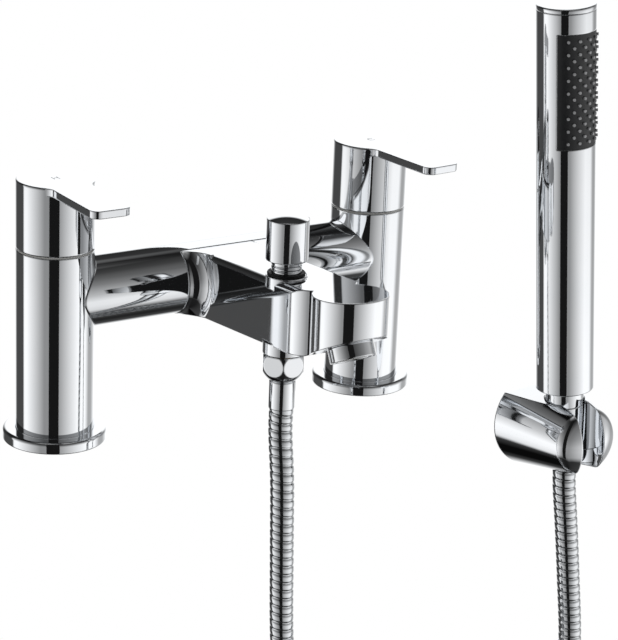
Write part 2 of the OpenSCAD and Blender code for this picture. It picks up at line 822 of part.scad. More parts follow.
// Ring of points round a path that stays square to it
function hoop(p, i, r, sides) = let (t = heading(p, i), a = unit([0, 1, 0] - t[1] * t), b = cross(t, a))
  [for (k = [0 : sides - 1]) p[i] + r * (cos(360 * k / sides) * a + sin(360 * k / sides) * b)];
function flat(lists) = [for (l = lists) for (e = l) e];
function skin(rings, sides, base, turn) = flat([for (i = [0 : rings - 2]) flat([for (k = [0 : sides - 1])
  let (a = base + i * sides + k, b = base + i * sides + (k + 1) % sides, c = a + sides, d = b + sides)
    turn ? [[a, d, c], [a, b, d]] : [[a, c, d], [a, d, b]]])]);
function rim(outer, inner, sides, turn) = flat([for (k = [0 : sides - 1])
  let (k1 = (k + 1) % sides, a = outer + k, b = outer + k1, c = inner + k, d = inner + k1)
    turn ? [[a, d, b], [a, c, d]] : [[a, b, d], [a, d, c]]]);

// Tube with a bore: radii gives the outside radius at each point of the path, way is the bore's own path
module hollow_tube(path, radii, way, bore_r, sides) {
  outside = flat([for (i = [0 : len(path) - 1]) hoop(path, i, radii[i], sides)]);
  inside = flat([for (i = [0 : len(way) - 1]) hoop(way, i, bore_r, sides)]);
  first_in = len(outside);
  last_out = (len(path) - 1) * sides;
  last_in = first_in + (len(way) - 1) * sides;
  polyhedron(concat(outside, inside), concat(
    skin(len(path), sides, 0, false), skin(len(way), sides, first_in, true),
    rim(0, first_in, sides, false), rim(last_out, last_in, sides, true)));
}

// Ribbed stretch: one ring on each rib's crest and one in each groove
module ribbed_hose(points) {
  curve = smooth(points, 10);
  lengths = run(curve);
  ribs = round(lengths[len(lengths) - 1] / rib_pitch);
  path = even(curve, 2 * ribs);
  radii = [for (i = [0 : 2 * ribs]) hose_d / 2 - (i % 2 == 0 ? rib_depth : 0)];
  way = [for (i = [0 : ribs]) path[2 * i]];
  hollow_tube(path, radii, way, hose_bore_d / 2, 8);
}

function coil_point(turn) = [
  coil_x - coil_r * cos(360 * turn),
  coil_start_y + (coil_end_y - coil_start_y) * turn / coil_turns,
  coil_z - coil_r * sin(360 * turn)];
coil_rings = 24;
tie_w = 6;
tie_t = 1.2;
tie_r = hose_d / 2 + clear;
coil_path = concat(
  [[coil_x - coil_r, coil_start_y, coil_top]],
  [for (i = [0 : coil_turns * coil_rings]) coil_point(i / coil_rings)],
  [[coil_x + coil_r, coil_end_y, coil_top]]);
module hose_lower() {
  color("silver") ribbed_hose(lower_points);
}

module hose_upper() {
  color("silver") ribbed_hose(upper_points);
}

module hose_coil() {
  radii = [for (p = coil_path) hose_d / 2 - rib_depth / 2];
  color("silver") hollow_tube(coil_path, radii, coil_path, hose_bore_d / 2, 6);
}

// Strap round the coil's strands at its lowest point
module strap_outline(r) {
  from = coil_point(coil_turns - 0.25)[1];
  to = coil_point(0.25)[1];
  translate([from, -r]) square([to - from, 2 * r]);
  for (y = [from, to]) translate([y, 0]) circle(r = r);
}

module hose_tie() {
  color("dimgray") translate([coil_x - tie_w / 2, 0, coil_z - coil_r]) rotate([90, 0, 90])
    linear_extrude(tie_w) difference() {
      strap_outline(tie_r + tie_t);
      strap_outline(tie_r);
    }
}

// Hose's upper end and the handset
module upper_ferrule() {
  color("silver") at_handset() difference() {
    union() {
      translate([0, 0, hose_top_z]) cylinder(r = ferrule_r, h = upper_ferrule_len);
      translate([0, 0, hose_top_z]) cylinder(r = hose_neck_r, h = nut_floor_z + clear - hose_top_z + eps);
      translate([0, 0, nut_floor_z + clear]) cylinder(r = spigot_r - clear, h = upper_flange_t);
    }
    translate([0, 0, hose_top_z - eps]) cylinder(d = hose_bore_d, h = tall);
  }
}

module cone_nut() {
  color("silver") at_handset() difference() {
    union() {
      translate([0, 0, cone_end_z]) cylinder(r1 = cone_end_r, r2 = neck_r, h = cone_len);
      translate([0, 0, cone_top_z]) cylinder(r = neck_r, h = nut_ring_h);
    }
    translate([0, 0, cone_end_z - eps]) cylinder(r = hose_neck_r + clear, h = tall);
    translate([0, 0, nut_floor_z]) cylinder(r = spigot_r + snug, h = tall);
  }
}

module cone_washer() {
  color("black") at_handset()
    ring(spigot_r - clear, neck_bore_r, spigot_end_z - upper_washer_t, upper_washer_t);
}

module handset_neck() {
  color("silver") at_handset() difference() {
    union() {
      translate([0, 0, neck_z]) cylinder(r = neck_r, h = neck_len);
      translate([0, 0, spigot_end_z]) cylinder(r = spigot_r, h = handset_z + base_t - spigot_end_z);
    }
    translate([0, 0, spigot_end_z - eps]) cylinder(r = neck_bore_r, h = tall);
  }
}

// Wedge of the given angle that opens straight ahead, turned to where the spray panel faces
module panel_wedge(angle, r, z, h) {
  translate([0, 0, z]) rotate([0, 0, panel_turn - 90 - angle / 2]) rotate_extrude(angle = angle)
    square([r, h]);
}

module handset_tube() {
  color("silver") at_handset() difference() {
    translate([0, 0, handset_z]) cylinder(r = handset_r, h = handset_len - cap_h);
    translate([0, 0, handset_z + base_t]) cylinder(r = handset_r - handset_wall, h = handset_len);
    cylinder(r = spigot_r + snug, h = tall);
    panel_wedge(panel_angle, handset_d, panel_z, panel_len);
  }
}

module handset_cap() {
  color("silver") at_handset() {
    translate([0, 0, handset_top - cap_h]) rounded_top(handset_r, cap_h, edge_fillet);
    ring(handset_r - handset_wall - snug, handset_r - handset_wall - 2, handset_top - cap_h - panel_ring_h,
      panel_ring_h + eps);
  }
}

module spray_panel() {
  edge = atan(panel_gap / handset_r);
  color("dimgray") at_handset() {
    difference() {
      panel_wedge(panel_angle - 2 * edge, handset_r - panel_gap,
        panel_z + panel_gap, panel_len - 2 * panel_gap);
      translate([0, 0, panel_z - eps]) cylinder(r = handset_r - panel_t, h = panel_len + 2 * eps);
    }
    for (row = [0 : nozzle_rows - 1]) let (count = row % 2 == 0 ? 5 : 4) for (i = [0 : count - 1])
      translate([0, 0, panel_z + nozzle_margin + row * nozzle_pitch])
        rotate([0, 0, panel_turn + (i - (count - 1) / 2) * nozzle_step]) rotate([90, 0, 0])
          translate([0, 0, handset_r - panel_t / 2])
            cylinder(d = nozzle_d, h = panel_t / 2 + nozzle_h, $fn = nozzle_sides);
  }
}

module handset_waterway() {
  color("lightgray") at_handset()
    ring(waterway_r, waterway_r - waterway_wall,
      handset_z + base_t, handset_len - base_t - cap_h - panel_ring_h);
}

// Wall bracket
module bracket_profile() {
  polygon([[0, 0], [bracket_r, 0], rim_on_cone, rim_on_dome, [0, rim_on_dome[1]]]);
  translate(rim_at) circle(r = rim_r + rim_over);
  intersection() {
    translate([0, dome_at]) circle(r = dome_r);
    translate([0, rim_on_dome[1]]) square(dome_r);
  }
}

module bracket_body() {
  color("silver") at_bracket() difference() {
    intersection() {
      rotate([90, 0, 0]) rotate_extrude() bracket_profile();
      translate([-tall, -tall, -tall]) cube([2 * tall, 2 * tall, tall + bracket_flat]);
    }
    along_y(eps, -recess_len, recess_r);
    translate([0, -handset_ahead, -tall / 4])
      cylinder(r1 = bracket_hole_r(-tall / 4), r2 = bracket_hole_r(tall / 4), h = tall / 2);
    translate([-slot_w / 2, -handset_ahead - tall, -tall / 2]) cube([slot_w, tall, tall]);
    translate([0, -bracket_grub_y, -tall]) cylinder(r = bracket_grub_r + snug, h = tall);
  }
}

module bracket_wall_plate() {
  color("gray") at_wall() difference() {
    along_y(0, -plate_t, plate_d / 2);
    for (s = [-1, 1]) translate([0, 0, s * screw_spacing / 2])
      along_y(eps, -plate_t - eps, screw_neck_r + snug);
  }
}

module bracket_screws() {
  color("gray") at_wall() for (s = [-1, 1]) translate([0, 0, s * screw_spacing / 2]) {
    along_y(screw_len, -eps, screw_d / 2);
    along_y(0, -plate_t - eps, screw_neck_r);
    along_y(-plate_t, -plate_t - screw_head_h, screw_head_r);
  }
}

module bracket_grub_screw() {
  color("dimgray") at_bracket() translate([0, -bracket_grub_y, -bracket_grub_top])
    cylinder(r = bracket_grub_r, h = bracket_grub_top - plate_d / 2 - snug);
}

pillar(hot);  // hot_pillar
pillar(cold);  // cold_pillar
bridge();
spout();
foot_flange(hot);  // hot_foot_flange
foot_flange(cold);  // cold_foot_flange
deck_gasket(hot);  // hot_deck_gasket
deck_gasket(cold);  // cold_deck_gasket
inlet_tail(hot);  // hot_inlet_tail
inlet_tail(cold);  // cold_inlet_tail
clamp_washers();
back_nuts();
valve_body(hot);  // hot_valve_body
valve_body(cold);  // cold_valve_body
valve_seal(hot);  // hot_valve_seal
valve_seal(cold);  // cold_valve_seal
fixed_disc(hot);  // hot_fixed_disc
fixed_disc(cold);  // cold_fixed_disc
moving_disc(hot);  // hot_moving_disc
moving_disc(cold);  // cold_moving_disc
spindle(hot);  // hot_spindle
spindle(cold);  // cold_spindle
glide_ring(hot);  // hot_glide_ring
glide_ring(cold);  // cold_glide_ring
handle(hot);  // hot_handle
handle(cold);  // cold_handle
grub_screw(hot);  // hot_grub_screw
grub_screw(cold);  // cold_grub_screw
aerator_housing();
aerator_insert();
aerator_washer();
diverter_knob();
diverter_stem();
diverter_piston();
diverter_seal();
diverter_bush();
diverter_o_ring();
shower_outlet();
hose_nut();
hose_washer();
lower_ferrule();
hose_lower();
hose_coil();
hose_upper();
hose_tie();
upper_ferrule();
cone_nut();
cone_washer();
handset_neck();
handset_tube();
handset_cap();
spray_panel();
handset_waterway();
bracket_body();
bracket_wall_plate();
bracket_screws();
bracket_grub_screw();
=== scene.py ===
# %% [markdown]
# # A bath shower mixer, dressed for its picture
#
# The mixer is a chromed H: two pillars, a bridge between them, a flat spout in front, and a
# hose that climbs to a handset in a wall bracket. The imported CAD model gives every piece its
# place and its size. This script adds what the CAD model can't hold: a ribbed metal hose,
# finishes with the grain of the real thing, and a studio for the chrome to mirror.

# %% Load the frame
import bpy, json, math
from mathutils import Matrix, Vector

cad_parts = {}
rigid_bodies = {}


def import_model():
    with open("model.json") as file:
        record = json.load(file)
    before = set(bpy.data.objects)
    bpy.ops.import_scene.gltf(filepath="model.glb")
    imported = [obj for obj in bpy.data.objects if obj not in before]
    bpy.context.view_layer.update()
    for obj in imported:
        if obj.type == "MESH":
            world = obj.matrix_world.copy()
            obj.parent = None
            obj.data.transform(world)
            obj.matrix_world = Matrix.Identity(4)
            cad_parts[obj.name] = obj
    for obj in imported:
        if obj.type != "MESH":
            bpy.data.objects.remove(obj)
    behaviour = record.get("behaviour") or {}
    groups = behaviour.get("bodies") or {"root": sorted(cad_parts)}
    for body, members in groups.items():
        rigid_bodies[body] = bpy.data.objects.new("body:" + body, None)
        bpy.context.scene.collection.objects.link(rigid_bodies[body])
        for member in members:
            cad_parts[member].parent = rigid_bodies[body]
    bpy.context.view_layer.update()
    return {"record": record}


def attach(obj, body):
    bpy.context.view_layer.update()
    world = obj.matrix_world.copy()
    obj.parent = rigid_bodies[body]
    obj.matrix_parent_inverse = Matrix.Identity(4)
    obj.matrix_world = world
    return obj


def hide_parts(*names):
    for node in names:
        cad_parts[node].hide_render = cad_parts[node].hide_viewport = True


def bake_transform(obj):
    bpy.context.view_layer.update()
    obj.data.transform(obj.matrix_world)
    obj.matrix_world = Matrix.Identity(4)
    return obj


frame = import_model()
scene = bpy.context.scene

# %% [markdown]
# ## Small helpers
#
# Colours are written as the hex values a designer would use and turned into linear light by
# one function. Every node in every material, and in the geometry nodes too, is added by one
# other function, so a tree reads as a list of steps.

# %% Helpers for colours and nodes
COLOUR_A, COLOUR_B, COLOUR_OUT = 6, 7, 2  # the mix node's sockets in its colour mode


def linear(hex_colour):
    parts = [int(hex_colour[i:i + 2], 16) / 255 for i in (1, 3, 5)]
    return [c / 12.92 if c < 0.04045 else ((c + 0.055) / 1.055) ** 2.4 for c in parts] + [1.0]


def grey_light(tone):
    """Linear light of a grey tone from 0 to 255."""
    return linear("#" + f"{tone:02x}" * 3)[0]


def add(tree, kind, inputs=None, **settings):
    node = tree.nodes.new(kind)
    for name, value in settings.items():
        setattr(node, name, value)
    for key, value in (inputs or {}).items():
        if isinstance(value, bpy.types.NodeSocket):
            tree.links.new(value, node.inputs[key])
        else:
            node.inputs[key].default_value = value
    return node


def math_node(tree, operation, *values):
    return add(tree, "ShaderNodeMath", dict(enumerate(values)), operation=operation).outputs[0]


def vector_math(tree, operation, *values):
    inputs = dict(enumerate(values))
    return add(tree, "ShaderNodeVectorMath", inputs, operation=operation).outputs


def mixed(tree, factor, first, second, blend="MIX"):
    node = add(tree, "ShaderNodeMix", {"Factor": factor, COLOUR_A: first, COLOUR_B: second},
               data_type="RGBA", blend_type=blend)
    return node.outputs[COLOUR_OUT]


# %% Helpers for objects
def placed(name, data):
    """An object that holds this data, put into the scene."""
    obj = bpy.data.objects.new(name, data)
    scene.collection.objects.link(obj)
    return obj


def plain_mesh(name, source):
    """What an object's modifiers or text make, as a plain mesh. The object itself goes."""
    graph = bpy.context.evaluated_depsgraph_get()
    mesh = bpy.data.meshes.new_from_object(source.evaluated_get(graph), depsgraph=graph)
    bpy.data.objects.remove(source)
    mesh.name = name
    return mesh


# %% [markdown]
# ## The camera
#
# The camera comes early, because the studio is laid out round it. It could be aimed by eye
# with a track-to constraint, but the photograph leans by two degrees, and a tracked camera
# has no lean. So the three axes are worked out from yaw, pitch and roll.

# %% Camera
CAMERA_AT = Vector((-0.5859, -0.9981, 0.4436))
YAW, PITCH, ROLL = map(math.radians, (32.771, 18.848, 2.31))
SENSOR_MM, LENS_MM = 36.0, 135.65
CLIP_NEAR, CLIP_FAR = 0.05, 20

forward = Vector((math.sin(YAW) * math.cos(PITCH), math.cos(YAW) * math.cos(PITCH),
                  -math.sin(PITCH)))
level = Vector((math.cos(YAW), -math.sin(YAW), 0))
upward = level.cross(forward)
right = math.cos(ROLL) * level + math.sin(ROLL) * upward
up = math.cos(ROLL) * upward - math.sin(ROLL) * level

camera = placed("Camera", bpy.data.cameras.new("Camera"))
aim = Matrix((right, up, -forward)).transposed().to_4x4()
camera.matrix_world = Matrix.Translation(CAMERA_AT) @ aim
camera.data.sensor_width, camera.data.lens = SENSOR_MM, LENS_MM
camera.data.clip_start, camera.data.clip_end = CLIP_NEAR, CLIP_FAR
scene.camera = camera
print("camera at", tuple(round(v, 3) for v in CAMERA_AT))

# %% [markdown]
# ## Materials
#
# Chrome is nearly a mirror, so its character is in what it mirrors. What is left for the
# material is a breath of haze that varies over the plate, and edges that polishing has
# rounded. The other finishes are made the same way: one pattern with its scale in real
# millimetres drives roughness, a shift of colour and a small bump.

# %% How a finish is made
MM = 0.001
NOISE_LOW, NOISE_HIGH, NOISE_DETAIL = 0.3, 0.7, 3.0  # the noise seldom leaves this range
BEVEL_SAMPLES = 8


def finish_material(name, colour, fleck, metallic, rough, grain_mm,
                    bump_mm=0.0, spread=0.3, edge_mm=0.0):
    """A finish whose noise is grain_mm in size and varies the roughness by the share spread."""
    material = bpy.data.materials.new(name)
    material.use_nodes = True
    tree = material.node_tree
    shader = tree.nodes["Principled BSDF"]
    shader.inputs["Metallic"].default_value = metallic
    place = add(tree, "ShaderNodeTexCoord").outputs["Object"]
    grain = add(tree, "ShaderNodeTexNoise", {"Vector": place, "Scale": 1000 / grain_mm,
                                             "Detail": NOISE_DETAIL}).outputs["Fac"]
    span = add(tree, "ShaderNodeMapRange", {
        "Value": grain, "From Min": NOISE_LOW, "From Max": NOISE_HIGH,
        "To Min": rough * (1 - spread), "To Max": rough * (1 + spread)})
    bump = add(tree, "ShaderNodeBump", {"Height": grain, "Strength": 1.0,
                                        "Distance": bump_mm * MM})
    if edge_mm:
        edges = add(tree, "ShaderNodeBevel", {"Radius": edge_mm * MM}, samples=BEVEL_SAMPLES)
        tree.links.new(edges.outputs["Normal"], bump.inputs["Normal"])
    tree.links.new(span.outputs["Result"], shader.inputs["Roughness"])
    tree.links.new(mixed(tree, grain, linear(colour), linear(fleck)), shader.inputs["Base Color"])
    tree.links.new(bump.outputs["Normal"], shader.inputs["Normal"])
    return material


# %% Finishes
# Bright chrome over polished brass: the haze drifts over about 18 mm, as a polishing mop leaves
# it. Polishing also rounds every edge, which then catches a thin line of light.
chrome = finish_material("polished_chrome", "#f2f3f5", "#eaedf0", metallic=1.0, rough=0.03,
                         grain_mm=18, spread=0.4, edge_mm=0.9)
# The hose's strip is rolled and plated before it is wound, so it is a little duller.
hose_chrome = finish_material("chromed_hose_strip", "#e6e8ea", "#d9dcdf", metallic=1.0,
                              rough=0.10, grain_mm=6, spread=0.4)
# Turned brass is left raw where no one looks, with tool marks of about a millimetre.
brass = finish_material("raw_brass", "#c9a55c", "#b8924a", metallic=1.0, rough=0.28,
                        grain_mm=1.2, bump_mm=0.01)
# Moulded rubber: black, matt and slightly mottled.
rubber = finish_material("black_rubber", "#0d0d0e", "#161617", metallic=0.0, rough=0.55,
                         grain_mm=0.9, bump_mm=0.01, spread=0.2)
# The valve's discs are lapped flat, so they are the smoothest of the hidden pieces.
ceramic = finish_material("lapped_ceramic", "#e9e6df", "#f3f1ec", metallic=0.0, rough=0.18,
                          grain_mm=2.0, bump_mm=0.004, spread=0.2)
# Screws, washers and the wall plate are plain zinc-plated steel.
steel = finish_material("zinc_plated_steel", "#c3c5c8", "#b4b6b9", metallic=1.0, rough=0.24,
                        grain_mm=0.8, bump_mm=0.006)
# Satin plastic: spark-eroded grain, drawn a little coarser than the real one.
dark_plastic = finish_material("dark_satin_plastic", "#2b2c2e", "#343537", metallic=0.0,
                               rough=0.34, grain_mm=0.6, bump_mm=0.008, spread=0.25)
# White mouldings: glide rings, aerator insert, diverter piston and waterway.
white_plastic = finish_material("white_moulded_plastic", "#e6e6e3", "#dededa", metallic=0.0,
                                rough=0.42, grain_mm=1.0, bump_mm=0.01, spread=0.2)

SLOT_FINISH = {"chrome": chrome, "hose_metal": hose_chrome, "brass": brass,
               "black_rubber": rubber, "ceramic": ceramic, "steel": steel,
               "dark_plastic": dark_plastic, "white_plastic": white_plastic}
print("finishes:", len(SLOT_FINISH))

# %% Spray panel
# The nozzles are soft grey rubber moulded through the dark panel. They stand proud of it, so the
# distance from the handset's axis tells the two apart.
GRIP_AT, GRIP_LEAN = (0.135, -0.119, 0.005), math.radians(-4.93)
PANEL_R, NOZZLE_R, NOZZLE_GREY = 0.01432, 0.01450, "#d3d4d6"

panel_plastic = finish_material("dark_panel_with_grey_nozzles", "#2f3032", "#3a3b3d",
                                metallic=0.0, rough=0.36, grain_mm=0.6, bump_mm=0.008,
                                spread=0.25)
panel = panel_plastic.node_tree
grip_axis = (math.sin(GRIP_LEAN), 0, math.cos(GRIP_LEAN))
place = add(panel, "ShaderNodeTexCoord").outputs["Object"]
offset = vector_math(panel, "SUBTRACT", place, GRIP_AT)["Vector"]
across = vector_math(panel, "CROSS_PRODUCT", offset, grip_axis)["Vector"]
from_axis = vector_math(panel, "LENGTH", across)["Value"]
proud = add(panel, "ShaderNodeMapRange", {"Value": from_axis, "From Min": PANEL_R,
                                          "From Max": NOZZLE_R}).outputs["Result"]
panel_colour = panel.nodes["Principled BSDF"].inputs["Base Color"]
dark_tone = panel_colour.links[0].from_socket
panel.links.new(mixed(panel, proud, dark_tone, linear(NOZZLE_GREY)), panel_colour)
print("panel turns into nozzle grey over", round((NOZZLE_R - PANEL_R) / MM, 2), "mm")

# %% Finishes on the CAD pieces
for row in frame["record"]["subparts"]:
    for holder in bpy.data.objects[row["node"]].material_slots:
        holder.material = SLOT_FINISH[row["material_slot"]]
for holder in bpy.data.objects["spray_panel"].material_slots:
    holder.material = panel_plastic

# The deck and the wall hide these in the photo, so the chrome doesn't mirror them either.
HIDDEN = ("hot_inlet_tail", "cold_inlet_tail", "clamp_washers", "back_nuts", "bracket_screws")
for name in HIDDEN:
    bpy.data.objects[name].visible_glossy = False

# %% [markdown]
# ## The hose
#
# A shower hose is a metal strip wound into a tube: rounded bands with narrow grooves that
# climb in a slow helix. It could be a stack of thousands of rings, but then a bend would
# open the stack. Geometry Nodes sweeps a circle along the route instead and presses the
# groove into the swept skin, so the bands follow every curve. The route is the one that the
# CAD solids take, in metres: out of the spout, down, round a stored coil and up to the bracket.

# %% Route of the hose
HOSE_D, RIB_PITCH, RIB_DEPTH = 0.012, 0.0043, 0.0008
COIL_X, COIL_Z, COIL_R, COIL_TOP = 0.072, -0.195, 0.070, -0.183
COIL_Y0, COIL_Y1, COIL_TURNS, COIL_STEPS = -0.0865, -0.121, 2.5, 120
LOWER = [(-0.0085, -0.0797, 0.0287), (-0.0085, -0.0797, 0.0157), (-0.0085, -0.083, -0.010),
         (-0.0085, -0.085, -0.045), (-0.007, -0.086, -0.095), (-0.002, -0.0865, -0.140),
         (0.002, -0.0865, -0.170), (0.002, -0.0865, COIL_TOP)]
UPPER = [(0.142, -0.121, COIL_TOP), (0.142, -0.121, -0.170), (0.1475, -0.1205, -0.145),
         (0.1485, -0.120, -0.114), (0.1445, -0.1195, -0.077), (0.1405, -0.119, -0.045),
         (0.13773, -0.119, -0.02668), (0.13662, -0.119, -0.01373)]


def smooth(points, steps=12):
    """Catmull-Rom points through a route, as the CAD model has them."""
    p = [Vector(v) for v in points]
    p = [2 * p[0] - p[1]] + p + [2 * p[-1] - p[-2]]
    path = []
    for i in range(1, len(p) - 2):
        a, b, c, d = p[i - 1:i + 3]
        for k in range(steps):
            t = k / steps
            path.append(0.5 * (2 * b + (c - a) * t + (2 * a - 5 * b + 4 * c - d) * t ** 2
                               + (3 * b - a - 3 * c + d) * t ** 3))
    return path + [p[-2]]


def coil_point(turn):
    angle = math.tau * turn
    return Vector((COIL_X - COIL_R * math.cos(angle),
                   COIL_Y0 + (COIL_Y1 - COIL_Y0) * turn / COIL_TURNS,
                   COIL_Z - COIL_R * math.sin(angle)))


coil = [coil_point(COIL_TURNS * k / COIL_STEPS) for k in range(COIL_STEPS + 1)]
route = smooth(LOWER) + coil + smooth(UPPER)

# %% Inputs of the winding
HOSE_RINGS, HOSE_SIDES = 9, 24  # rings in one pitch, sides round the tube
INPUTS = (("Geometry", "NodeSocketGeometry", None),
          ("Radius", "NodeSocketFloat", HOSE_D / 2),
          ("Pitch", "NodeSocketFloat", RIB_PITCH),
          ("Depth", "NodeSocketFloat", RIB_DEPTH),
          ("Rings", "NodeSocketInt", HOSE_RINGS),
          ("Sides", "NodeSocketInt", HOSE_SIDES),
          ("Finish", "NodeSocketMaterial", None))

winding = bpy.data.node_groups.new("wound_hose", "GeometryNodeTree")
winding.interface.new_socket(name="Geometry", in_out="OUTPUT", socket_type="NodeSocketGeometry")
socket_of = {}
for name, kind, value in INPUTS:
    item = winding.interface.new_socket(name=name, in_out="INPUT", socket_type=kind)
    if value is not None:
        item.default_value = value
    socket_of[name] = item.identifier
print("winding takes", ", ".join(socket_of))


# %% Sweep a circle along the route
def captured(geometry, name, value):
    """A node that keeps a value with the points of a curve."""
    node = add(winding, "GeometryNodeCaptureAttribute")
    node.capture_items.new("FLOAT", name)
    winding.links.new(geometry, node.inputs["Geometry"])
    winding.links.new(value, node.inputs[name])
    return node.outputs


given = add(winding, "NodeGroupInput").outputs
step = math_node(winding, "DIVIDE", given["Pitch"], given["Rings"])
evened = add(winding, "GeometryNodeResampleCurve",
             {"Curve": given["Geometry"], "Length": step}, mode="LENGTH")
ring = add(winding, "GeometryNodeCurvePrimitiveCircle",
           {"Resolution": given["Sides"], "Radius": given["Radius"]})
along = add(winding, "GeometryNodeSplineParameter").outputs
core = captured(evened.outputs["Curve"], "Length", along["Length"])
rim = captured(ring.outputs["Curve"], "Factor", along["Factor"])
swept = add(winding, "GeometryNodeCurveToMesh", {"Curve": core["Geometry"],
                                                 "Profile Curve": rim["Geometry"]})
print("sweep nodes:", len(winding.nodes))

# %% Press the groove in
GROOVE_POWER = 5.0  # the higher, the narrower the groove between two bands

turns = math_node(winding, "DIVIDE", core["Length"], given["Pitch"])
phase = math_node(winding, "FRACT", math_node(winding, "ADD", turns, rim["Factor"]))
from_middle = math_node(winding, "ABSOLUTE", math_node(winding, "SUBTRACT", phase, 0.5))
groove = math_node(winding, "POWER", math_node(winding, "MULTIPLY", from_middle, 2.0),
                   GROOVE_POWER)
inward = math_node(winding, "MULTIPLY", math_node(winding, "MULTIPLY", groove, given["Depth"]),
                   -1.0)
outward = add(winding, "GeometryNodeInputNormal").outputs["Normal"]
press = add(winding, "ShaderNodeVectorMath", {0: outward, "Scale": inward}, operation="SCALE")
pressed = add(winding, "GeometryNodeSetPosition", {"Geometry": swept.outputs["Mesh"],
                                                   "Offset": press.outputs["Vector"]})
rounded = add(winding, "GeometryNodeSetShadeSmooth", {"Geometry": pressed.outputs["Geometry"]})
dressed = add(winding, "GeometryNodeSetMaterial", {"Geometry": rounded.outputs["Geometry"],
                                                   "Material": given["Finish"]})
add(winding, "NodeGroupOutput", {"Geometry": dressed.outputs["Geometry"]})
print("winding nodes:", len(winding.nodes))

# %% Wind the hose
route_data = bpy.data.curves.new("hose_route", "CURVE")
route_data.dimensions = "3D"
spline = route_data.splines.new("POLY")
spline.points.add(len(route) - 1)
for place, point in zip(spline.points, route):
    place.co = (*point, 1)

route_curve = placed("hose_route", route_data)
winder = route_curve.modifiers.new("Build", "NODES")
winder.node_group = winding
winder[socket_of["Finish"]] = hose_chrome
hose = placed("shower_hose", plain_mesh("shower_hose", route_curve))
print("hose triangles", sum(len(p.vertices) - 2 for p in hose.data.polygons))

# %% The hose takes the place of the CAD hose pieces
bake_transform(hose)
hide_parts("hose_lower", "hose_coil", "hose_upper")

# %% [markdown]
# ## Letters
#
# A small etched letter in the middle of each handle's top tells hot from cold. It could be
# painted by the chrome's material, but a thin mesh has a clean edge at every distance. The
# text becomes a mesh first, and is then laid on the handle where a ray from above meets it.

# %% Letters on the handles
MARK_SIZE, MARK_PROUD, FROM_ABOVE = 0.0056, 0.00004, 1.0
etched = finish_material("etched_chrome", "#e6e7e9", "#d6d8da", metallic=1.0, rough=0.42,
                         grain_mm=0.5, spread=0.2)
turn_at = {joint["child"]: joint.get("pos_m") for joint in frame["record"]["behaviour"]["joints"]}


def handle_mark(letter, handle, body):
    name = "mark_" + letter
    text = bpy.data.curves.new(name, "FONT")
    text.body, text.size, text.extrude = letter, MARK_SIZE, MARK_PROUD
    text.align_x, text.align_y = "CENTER", "CENTER"
    mesh = plain_mesh(name, placed(name, text))
    x, y, _ = turn_at[body]
    _, spot, normal, _ = bpy.data.objects[handle].ray_cast(
        Vector((x, y, FROM_ABOVE)), Vector((0, 0, -1)),
        depsgraph=bpy.context.evaluated_depsgraph_get())
    away = normal.cross(Vector((1, 0, 0))).normalized()
    lie = Matrix((away.cross(normal), away, normal)).transposed().to_4x4()
    mesh.transform(Matrix.Translation(spot) @ lie)
    mesh.materials.clear()
    mesh.materials.append(etched)
    mark = placed(name, mesh)
    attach(mark, body)
    print("mark", letter, "at", tuple(round(v, 4) for v in spot))


handle_mark("H", "hot_handle", "hot_lever")
handle_mark("C", "cold_handle", "cold_lever")

# %% [markdown]
# ## The studio
#
# Chrome shows nothing but its surroundings. In the photograph every upright cylinder has the
# same stripes: a dark slot where the camera stands, white cloth that brightens towards the
# sides, dark gaps beyond it and a white backdrop behind. The bridge, which lies down, shows
# the heights: the cloth at the sides fades as it rises, the backdrop ends at about thirty
# degrees, and it is dark above them until the ceiling, which is a little lighter. Cards and
# lamps could be set up one by one, but a sky made of three ramps, one round the compass and
# two up the wall, gives the same stripes on every piece.

# %% Tones of the studio
# Round the compass: degrees from the camera, right is positive, and grey tones from 0 to 255.
CLOTH_NEAR, CLOTH_FAR, LEFT_GAP, RIGHT_GAP, BACKDROP = 140, 253, 70, 168, 255
ROUND = [(-180, BACKDROP), (-168, BACKDROP), (-142, LEFT_GAP), (-100, LEFT_GAP),
         (-95, CLOTH_FAR), (-84, CLOTH_FAR), (-25, CLOTH_NEAR), (13, CLOTH_NEAR),
         (78, CLOTH_FAR), (106, CLOTH_FAR), (122, RIGHT_GAP), (138, RIGHT_GAP),
         (165, BACKDROP), (180, BACKDROP)]
# Up the wall: degrees above the horizon, and the share of light that is left.
SIDE_WALL = [(-90, 0.03), (-52, 0.05), (-42, 0.75), (-30, 0.95), (-19, 1.0), (-2, 0.62),
             (19, 0.33), (26, 0.24), (40, 0.13), (54, 0.05), (62, 0.03), (74, 0.45), (90, 0.6)]
BACK_WALL = [(-90, 0.03), (-52, 0.05), (-40, 0.6), (-28, 1.0), (26, 1.0), (32, 0.02),
             (52, 0.03), (62, 0.2), (76, 0.45), (90, 0.6)]
BACK_FROM, BACK_FULL = 140, 158  # the side wall turns into the back wall between these
GLOW = 1.16
print("sky ramps:", len(ROUND), len(SIDE_WALL), len(BACK_WALL))

# %% Studio sky
world = bpy.data.worlds.new("studio_tent")
scene.world = world
world.use_nodes = True
sky = world.node_tree
sky.nodes.clear()
ray = add(sky, "ShaderNodeTexCoord").outputs["Generated"]


def ramp(value, stops):
    """A colour ramp through pairs of a place from 0 to 1 and a linear grey."""
    node = add(sky, "ShaderNodeValToRGB", {"Fac": value})
    elements = node.color_ramp.elements
    elements[0].position, elements[1].position = stops[0][0], stops[-1][0]
    for place, _ in stops[1:-1]:
        elements.new(place)
    for element, (_, light) in zip(elements, stops):
        element.color = (light, light, light, 1)
    return node.outputs["Color"]


def wall_ramp(stops):
    return ramp(raised, [(angle / 180 + 0.5, light) for angle, light in stops])


